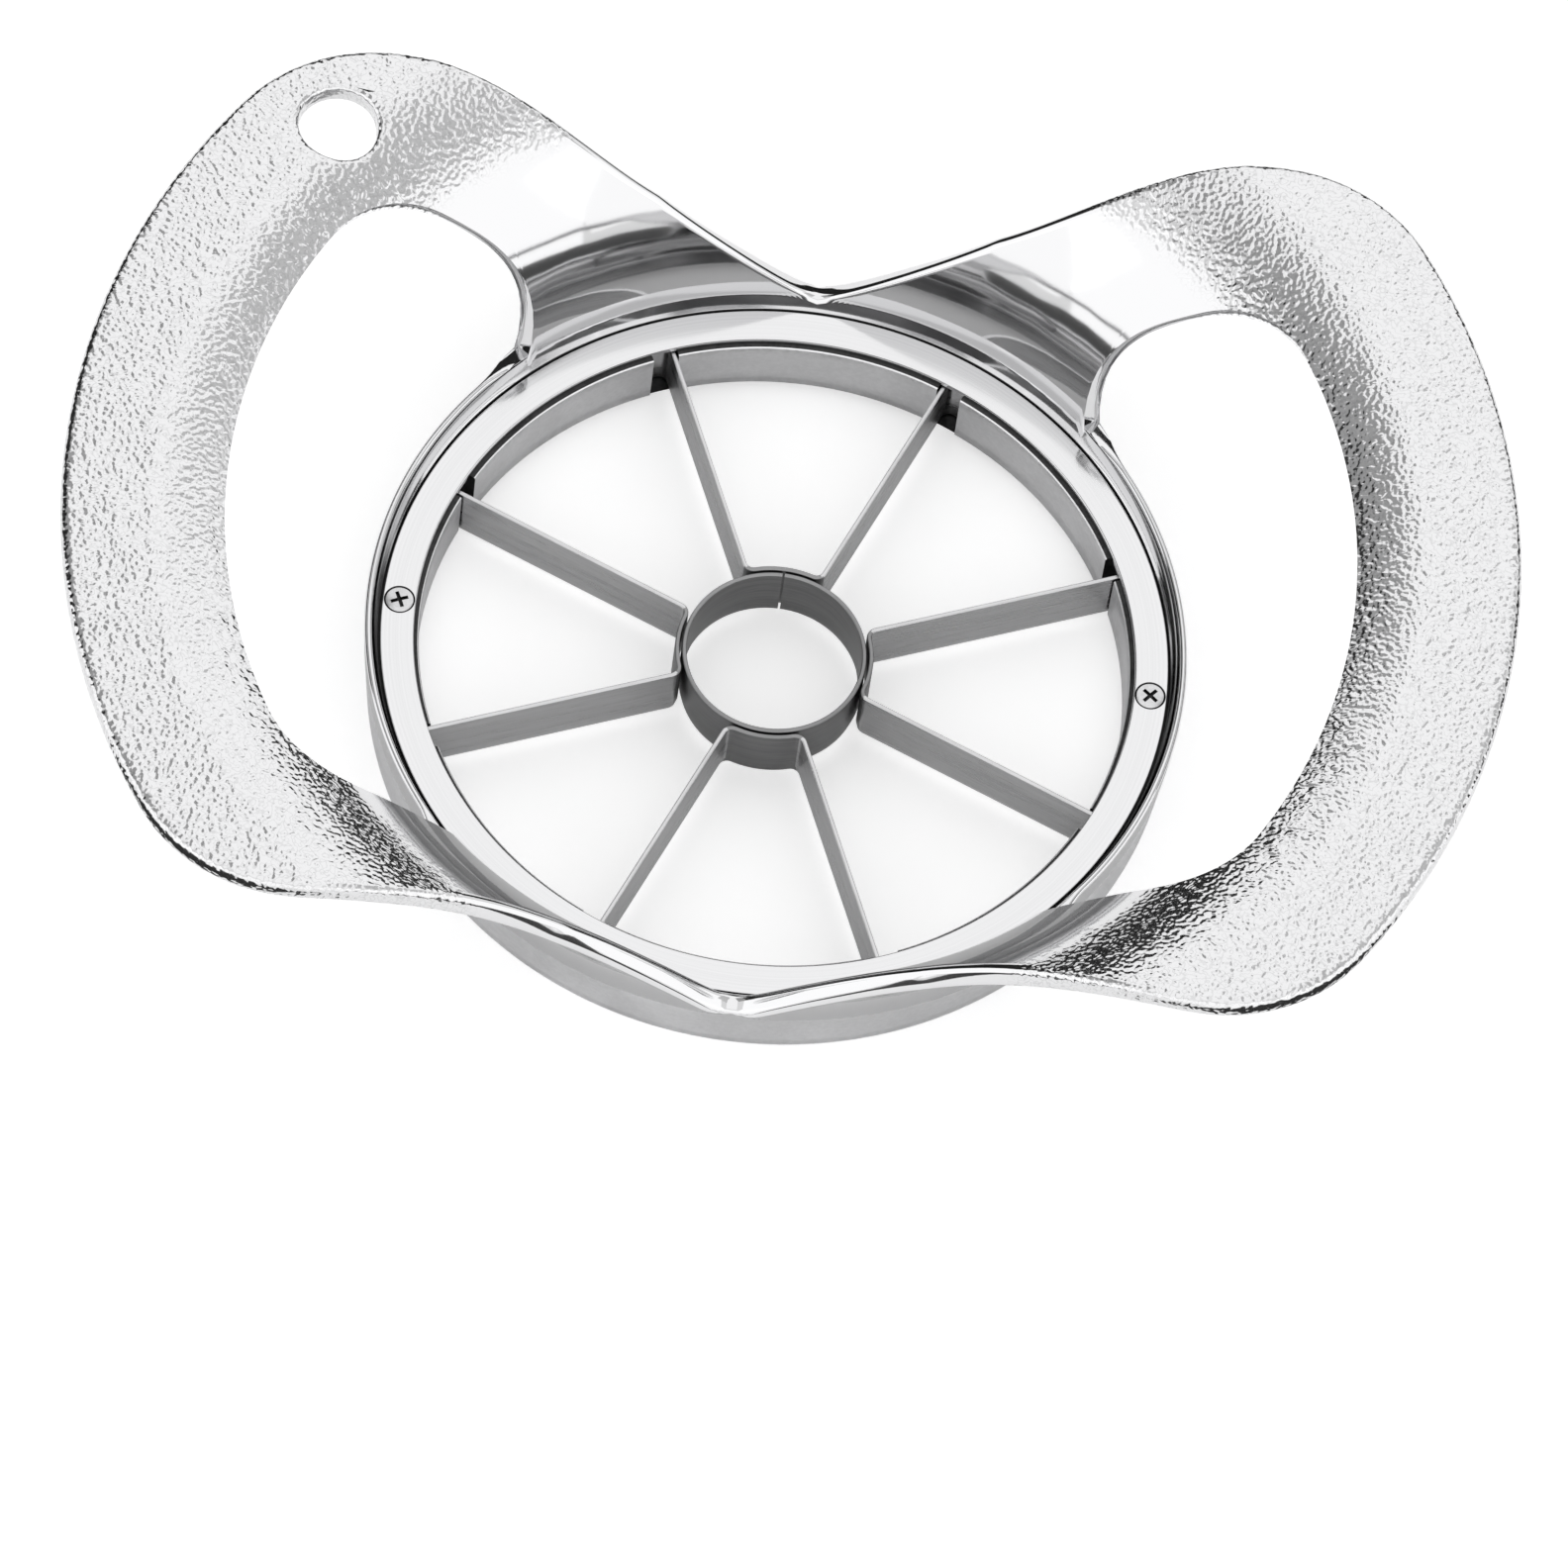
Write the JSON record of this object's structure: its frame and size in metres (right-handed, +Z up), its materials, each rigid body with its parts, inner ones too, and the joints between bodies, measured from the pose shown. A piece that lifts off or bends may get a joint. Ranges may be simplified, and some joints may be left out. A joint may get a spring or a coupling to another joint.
{
  "type": "apple slicer and wedger",
  "caption": "Cast ring with raised loop handles on both sides and radial blades round a core ring; pushed down over an apple it cuts out the core and parts the rest into wedges.",
  "frame": {"origin": "centre of the ring, on the plane its foot stands on", "axes": "+X towards the handle that has no hanging hole, +Y across the handles towards the side with the hanging hole, +Z up along the ring's axis"},
  "size_m": [0.183, 0.1228, 0.0433],
  "materials": {
    "cast_chrome": "bright chrome plating, hammered on the handles and smooth round the ring",
    "polished_steel": "polished",
    "blade_steel": "fine brushed",
    "screw_steel": "bright"
  },
  "bodies": {
    "root": {"frame": "cast_chrome", "retaining_ring": "polished_steel", "blade_strip_right": "blade_steel", "blade_strip_far": "blade_steel", "blade_strip_left": "blade_steel", "blade_strip_near": "blade_steel", "core_ring": "blade_steel", "screw_left": "screw_steel", "screw_right": "screw_steel"}
  },
  "joints": []
}
